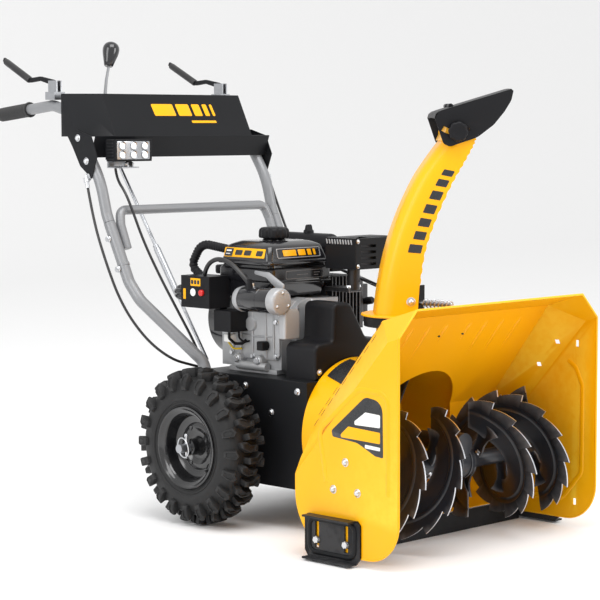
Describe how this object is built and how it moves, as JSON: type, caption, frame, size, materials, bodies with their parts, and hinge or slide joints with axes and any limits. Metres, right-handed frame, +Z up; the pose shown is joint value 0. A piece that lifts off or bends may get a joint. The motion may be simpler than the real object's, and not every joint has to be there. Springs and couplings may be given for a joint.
{
  "type": "two stage snowblower",
  "caption": "Walk-behind two stage snowblower: toothed auger and impeller in a yellow housing, turning chute with a tilting hood, small petrol engine, lugged tyres, control panel and lamp.",
  "frame": {"origin": "on the ground, under the middle of the machine's bounding box", "axes": "+Z up, -Y ahead (the way it clears snow), +X to the machine's left"},
  "size_m": [0.67, 1.3171, 1.057],
  "materials": {
    "housing_yellow": "gloss powder coat",
    "frame_black": "satin powder coat",
    "auger_black": "satin paint",
    "handle_grey": "satin silver-grey paint",
    "zinc": "zinc plated",
    "steel": "machined",
    "aluminium_cast": "as cast",
    "iron_cast": "rough cast",
    "plastic_black": "fine grain",
    "plastic_gloss_black": "gloss",
    "tyre_rubber": "matt",
    "rubber_black": "matt",
    "button_red": "gloss"
  },
  "bodies": {
    "chassis": {"auger_housing_shell": "housing_yellow", "side_plate_right": "housing_yellow", "side_plate_left": "housing_yellow", "impeller_drum": "housing_yellow", "scraper_bar": "frame_black", "bolts": "zinc", "flange_bearings": "steel", "gearbox_case": "aluminium_cast", "drive_belts": "rubber_black", "chute_seat": "plastic_black", "frame_box": "frame_black", "lower_handle_right": "handle_grey", "lower_handle_left": "handle_grey", "upper_handle_right": "handle_grey", "upper_handle_left": "handle_grey", "belt_cover": "plastic_black", "engine_crankcase": "aluminium_cast", "engine_cylinder": "aluminium_cast", "engine_shroud": "plastic_gloss_black", "recoil_cover": "plastic_black", "fuel_tank": "plastic_gloss_black", "muffler": "iron_cast", "muffler_guard": "frame_black", "air_filter_box": "plastic_black", "starter_motor": "aluminium_cast", "switch_box": "plastic_black", "crossbar": "handle_grey", "hand_grips": "rubber_black", "control_panel": "frame_black", "panel_brackets": "frame_black", "cables": "rubber_black"},
    "skid_right": {"skid_shoe_right": "frame_black"},
    "skid_left": {"skid_shoe_left": "frame_black"},
    "auger": {"auger_shaft": "steel", "auger_right": "auger_black", "auger_left": "auger_black"},
    "impeller_rotor": {"impeller": "auger_black", "impeller_shaft": "steel", "impeller_pulley": "steel"},
    "crankshaft": {"engine_pulley": "steel"},
    "wheels": {"wheel_axle": "steel", "rim_right": "frame_black", "rim_left": "frame_black", "tire_right": "tyre_rubber", "tire_left": "tyre_rubber", "linchpins": "zinc"},
    "chute": {"chute": "housing_yellow"},
    "deflector": {"deflector": "plastic_black"},
    "knob": {"deflector_knob": "plastic_black"},
    "worm": {"chute_worm": "zinc"},
    "crank": {"chute_crank": "zinc"},
    "clutch_right": {"clutch_lever_right": "frame_black"},
    "clutch_left": {"clutch_lever_left": "frame_black"},
    "shift": {"shift_lever": "zinc"},
    "rod": {"shift_rod": "zinc"},
    "cap": {"fuel_cap": "plastic_gloss_black"},
    "button": {"start_button": "button_red"},
    "choke": {"choke_knob": "plastic_black"},
    "recoil": {"recoil_handle": "plastic_black"},
    "lamp": {"work_lamp": "aluminium_cast"}
  },
  "joints": [
    {"name": "skid_right_height", "type": "slide", "parent": "chassis", "child": "skid_right", "axis": [0, 0, 1], "range_m": [-0.028, 0.008]},
    {"name": "skid_left_height", "type": "slide", "parent": "chassis", "child": "skid_left", "axis": [0, 0, 1], "range_m": [-0.028, 0.008]},
    {"name": "impeller_spin", "type": "hinge", "parent": "chassis", "child": "impeller_rotor", "pos_m": [0, -0.2925, 0.208], "axis": [0, 1, 0], "continuous": true},
    {"name": "auger_spin", "type": "hinge", "parent": "chassis", "child": "auger", "pos_m": [0, -0.5165, 0.166], "axis": [1, 0, 0], "continuous": true},
    {"name": "crankshaft_spin", "type": "hinge", "parent": "chassis", "child": "crankshaft", "pos_m": [-0.014, -0.1745, 0.432], "axis": [0, 1, 0], "continuous": true},
    {"name": "wheel_spin", "type": "hinge", "parent": "chassis", "child": "wheels", "pos_m": [0, 0.0075, 0.171], "axis": [1, 0, 0], "continuous": true},
    {"name": "chute_turn", "type": "hinge", "parent": "chassis", "child": "chute", "pos_m": [0, -0.3975, 0.466], "axis": [0, 0, 1], "range_deg": [-143, 47]},
    {"name": "worm_spin", "type": "hinge", "parent": "chassis", "child": "worm", "pos_m": [0.111, -0.3925, 0.48], "axis": [0, 1, 0], "continuous": true},
    {"name": "crank_spin", "type": "hinge", "parent": "chassis", "child": "crank", "pos_m": [0.175, 0.1975, 0.6], "axis": [0.1223, 0.9666, 0.2254], "continuous": true},
    {"name": "deflector_tilt", "type": "hinge", "parent": "chute", "child": "deflector", "pos_m": [0.06837, -0.45906, 0.897], "axis": [-0.6691, -0.7431, 0], "range_deg": [-28, 24]},
    {"name": "knob_turn", "type": "hinge", "parent": "chute", "child": "knob", "pos_m": [0.01908, -0.51829, 0.848], "axis": [-0.6691, -0.7431, 0], "continuous": true},
    {"name": "clutch_right_press", "type": "hinge", "parent": "chassis", "child": "clutch_right", "pos_m": [-0.253, 0.4525, 0.95], "axis": [1, 0, 0], "range_deg": [-20, 0], "stiffness_Nm_per_rad": 6, "springref_deg": 20.05},
    {"name": "clutch_left_press", "type": "hinge", "parent": "chassis", "child": "clutch_left", "pos_m": [0.253, 0.4525, 0.95], "axis": [1, 0, 0], "range_deg": [-20, 0], "stiffness_Nm_per_rad": 6, "springref_deg": 20.05},
    {"name": "shift_select", "type": "hinge", "parent": "chassis", "child": "shift", "pos_m": [-0.11, 0.4475, 0.88], "axis": [1, 0, 0], "range_deg": [-12, 12]},
    {"name": "shift_rod_slide", "type": "slide", "parent": "chassis", "child": "rod", "axis": [0.0035, -0.5666, -0.824], "range_m": [-0.009, 0.009]},
    {"name": "fuel_cap_turn", "type": "hinge", "parent": "chassis", "child": "cap", "pos_m": [-0.035, -0.0325, 0.62], "axis": [0, 0, 1], "range_deg": [0, 90]},
    {"name": "start_button_press", "type": "slide", "parent": "chassis", "child": "button", "axis": [1, 0, 0], "range_m": [0, 0.003], "stiffness_N_per_m": 300, "springref_m": -0.002},
    {"name": "choke_turn", "type": "hinge", "parent": "chassis", "child": "choke", "pos_m": [-0.136, 0.1375, 0.49], "axis": [0, 1, 0], "range_deg": [0, 90]},
    {"name": "recoil_pull", "type": "slide", "parent": "chassis", "child": "recoil", "axis": [0, 0, 1], "range_m": [0, 0.028], "stiffness_N_per_m": 60, "springref_m": -0.01},
    {"name": "lamp_tilt", "type": "hinge", "parent": "chassis", "child": "lamp", "pos_m": [-0.191, 0.2715, 0.774], "axis": [1, 0, 0], "range_deg": [-4, 12]}
  ],
  "couplings": [
    {"joint": "auger_spin", "follows": "impeller_spin", "ratio": 0.1},
    {"joint": "crankshaft_spin", "follows": "impeller_spin", "ratio": 3.65},
    {"joint": "worm_spin", "follows": "chute_turn", "ratio": 18},
    {"joint": "crank_spin", "follows": "chute_turn", "ratio": 18},
    {"joint": "shift_rod_slide", "follows": "shift_select", "m_per_rad": -0.036829}
  ]
}
